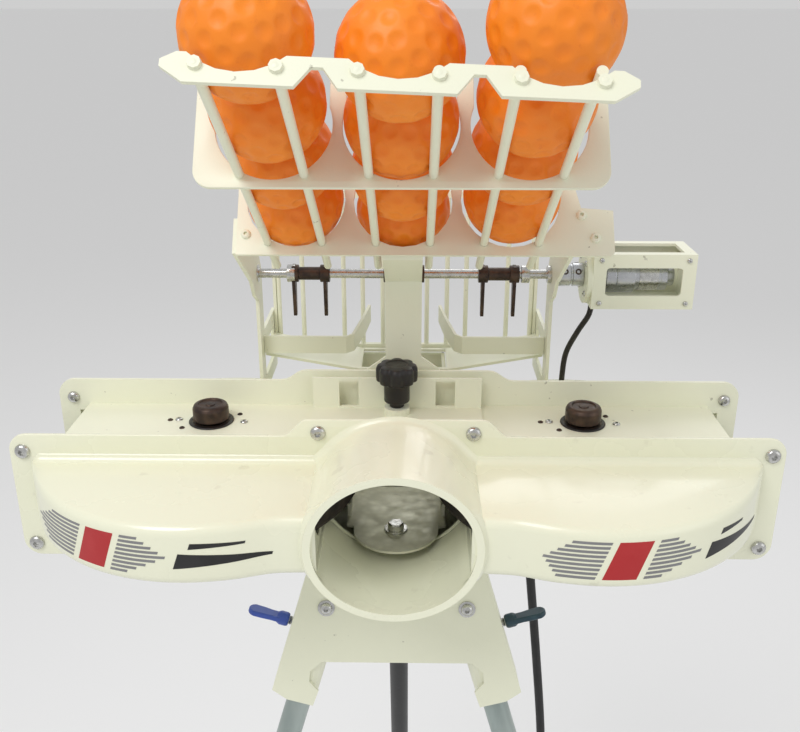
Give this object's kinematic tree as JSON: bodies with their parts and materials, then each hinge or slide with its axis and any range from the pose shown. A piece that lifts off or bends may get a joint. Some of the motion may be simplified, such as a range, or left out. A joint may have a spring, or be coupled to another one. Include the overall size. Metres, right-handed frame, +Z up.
{
  "type": "ball bowling machine",
  "caption": "Wheel-driven ball bowling machine on tripod legs: covered drive wheels, a round muzzle, a sloping ball rack with a motor-driven finger feeder, and speed controls at the back.",
  "frame": {"origin": "on the floor at the middle of the machine's footprint, below the head", "axes": "+Z up, balls leave along -Y, +X to the right as seen from in front of the muzzle"},
  "size_m": [0.779, 0.6825, 1.5617],
  "materials": {
    "cover_gloss": "glossy ivory moulding with a fine orange-peel skin",
    "frame_cream": "ivory powder coat on folded steel",
    "galvanised": "zinc plated sheet",
    "bright_steel": "plated fasteners and turned shaft",
    "dark_steel": "oiled dark steel",
    "leg_steel": "dull galvanised tube",
    "black_coat": "black powder coated tube",
    "wheel_tyre": "matt black rubber tread",
    "foot_rubber": "moulded black rubber",
    "black_plastic": "fine grained black moulding",
    "lead_pvc": "soft black lead sheath",
    "ball_orange": "dimpled orange practice ball",
    "clamp_blue": "blue moulded lever",
    "clamp_teal": "dark teal moulded lever",
    "cast_alloy": "turned and cast aluminium"
  },
  "bodies": {
    "tripod": {"tripod_head": "frame_cream"},
    "leg_left": {"leg_left": "leg_steel", "foot_left": "foot_rubber"},
    "leg_right": {"leg_right": "leg_steel", "foot_right": "foot_rubber"},
    "leg_rear": {"leg_rear": "black_coat", "foot_rear": "foot_rubber"},
    "clamp_left": {"leg_clamp_left": "clamp_blue"},
    "clamp_right": {"leg_clamp_right": "clamp_teal"},
    "clamp_rear": {"leg_clamp_rear": "bright_steel"},
    "swivel": {"swivel_block": "cast_alloy", "tilt_pin": "bright_steel", "power_lead": "lead_pvc", "power_lead_coil": "lead_pvc", "power_plug": "black_plastic"},
    "wheel_left": {"tyre_left": "wheel_tyre", "rim_left": "cast_alloy", "spindle_left": "dark_steel"},
    "wheel_right": {"tyre_right": "wheel_tyre", "rim_right": "cast_alloy", "spindle_right": "dark_steel"},
    "feed_shaft": {"feed_shaft": "bright_steel", "feed_fingers_left": "dark_steel", "feed_fingers_mid": "dark_steel", "feed_fingers_right": "dark_steel", "shaft_coupling": "cast_alloy"},
    "balls_left": {"ball_row_left": "ball_orange"},
    "balls_mid": {"ball_row_mid": "ball_orange"},
    "balls_right": {"ball_row_right": "ball_orange"},
    "knob": {"guide_clamp_knob": "black_plastic"},
    "dial_left": {"speed_dial_left": "black_plastic"},
    "dial_right": {"speed_dial_right": "black_plastic"},
    "switch": {"power_switch": "black_plastic"},
    "head": {"front_cover": "cover_gloss", "rear_cover": "cover_gloss", "chassis": "frame_cream", "centre_bracket": "frame_cream", "cover_screw_low_left": "bright_steel", "cover_screw_low_right": "bright_steel", "cover_screw_top_left": "bright_steel", "cover_screw_top_right": "bright_steel", "ball_guide": "galvanised", "drive_motor_left": "dark_steel", "drive_motor_right": "dark_steel", "rack_rails": "frame_cream", "rack_low_plate": "frame_cream", "rack_top_plate": "frame_cream", "feeder_post": "frame_cream", "side_frame_left": "frame_cream", "side_frame_right": "frame_cream", "drop_tray": "frame_cream", "deflector_left": "frame_cream", "deflector_right": "frame_cream", "rear_guard": "frame_cream", "feed_motor_housing": "frame_cream", "feed_gear_motor": "cast_alloy", "feed_motor_lead": "lead_pvc", "control_box": "black_plastic", "tilt_bracket": "galvanised", "lead_gland": "black_plastic"}
  },
  "joints": [
    {"name": "head_pan", "type": "hinge", "parent": "tripod", "child": "swivel", "pos_m": [0, -0.10085, 1.1], "axis": [0, 0, 1], "range_deg": [-15, 15]},
    {"name": "head_tilt", "type": "hinge", "parent": "swivel", "child": "head", "pos_m": [0, -0.10085, 1.1], "axis": [1, 0, 0], "range_deg": [-8, 8], "deforming": ["power_lead"]},
    {"name": "wheel_left_spin", "type": "hinge", "parent": "head", "child": "wheel_left", "pos_m": [-0.151, -0.12335, 1.18], "axis": [0, 0, 1], "continuous": true},
    {"name": "wheel_right_spin", "type": "hinge", "parent": "head", "child": "wheel_right", "pos_m": [0.151, -0.12335, 1.18], "axis": [0, 0, 1], "continuous": true},
    {"name": "feed_shaft_turn", "type": "hinge", "parent": "head", "child": "feed_shaft", "pos_m": [0.005, -0.04085, 1.3216], "axis": [1, 0, 0], "continuous": true},
    {"name": "balls_left_roll", "type": "slide", "parent": "head", "child": "balls_left", "axis": [0, 0.8246, -0.5657], "range_m": [0, 0.04]},
    {"name": "balls_mid_roll", "type": "slide", "parent": "head", "child": "balls_mid", "axis": [0, 0.8246, -0.5657], "range_m": [0, 0.02]},
    {"name": "balls_right_roll", "type": "slide", "parent": "head", "child": "balls_right", "axis": [0, 0.8246, -0.5657], "range_m": [0, 0.05]},
    {"name": "leg_left_slide", "type": "slide", "parent": "tripod", "child": "leg_left", "axis": [-0.2829, -0.179, -0.9423], "range_m": [0, 0.08]},
    {"name": "leg_left_clamp", "type": "hinge", "parent": "tripod", "child": "clamp_left", "pos_m": [-0.06821, -0.12569, 1.0181], "axis": [-0.9591, 0.0528, 0.278], "range_deg": [0, 270]},
    {"name": "leg_right_slide", "type": "slide", "parent": "tripod", "child": "leg_right", "axis": [0.2829, -0.179, -0.9423], "range_m": [0, 0.08]},
    {"name": "leg_right_clamp", "type": "hinge", "parent": "tripod", "child": "clamp_right", "pos_m": [0.06821, -0.12569, 1.0181], "axis": [0.9591, 0.0528, 0.278], "range_deg": [0, 270]},
    {"name": "leg_rear_slide", "type": "slide", "parent": "tripod", "child": "leg_rear", "axis": [0, 0.3593, -0.9332], "range_m": [0, 0.08]},
    {"name": "leg_rear_clamp", "type": "hinge", "parent": "tripod", "child": "clamp_rear", "pos_m": [0, -0.06543, 1.01694], "axis": [1, 0, 0], "range_deg": [0, 270]},
    {"name": "guide_knob_turn", "type": "hinge", "parent": "head", "child": "knob", "pos_m": [0, -0.11185, 1.24], "axis": [0, 0, 1], "range_deg": [0, 360]},
    {"name": "speed_left_turn", "type": "hinge", "parent": "head", "child": "dial_left", "pos_m": [-0.036, 0.02915, 1.108], "axis": [0, -1, 0], "range_deg": [0, 270]},
    {"name": "speed_right_turn", "type": "hinge", "parent": "head", "child": "dial_right", "pos_m": [0.036, 0.02915, 1.108], "axis": [0, -1, 0], "range_deg": [0, 270]},
    {"name": "power_rocker", "type": "hinge", "parent": "head", "child": "switch", "pos_m": [0, 0.02935, 1.108], "axis": [1, 0, 0], "range_deg": [0, 14]}
  ]
}
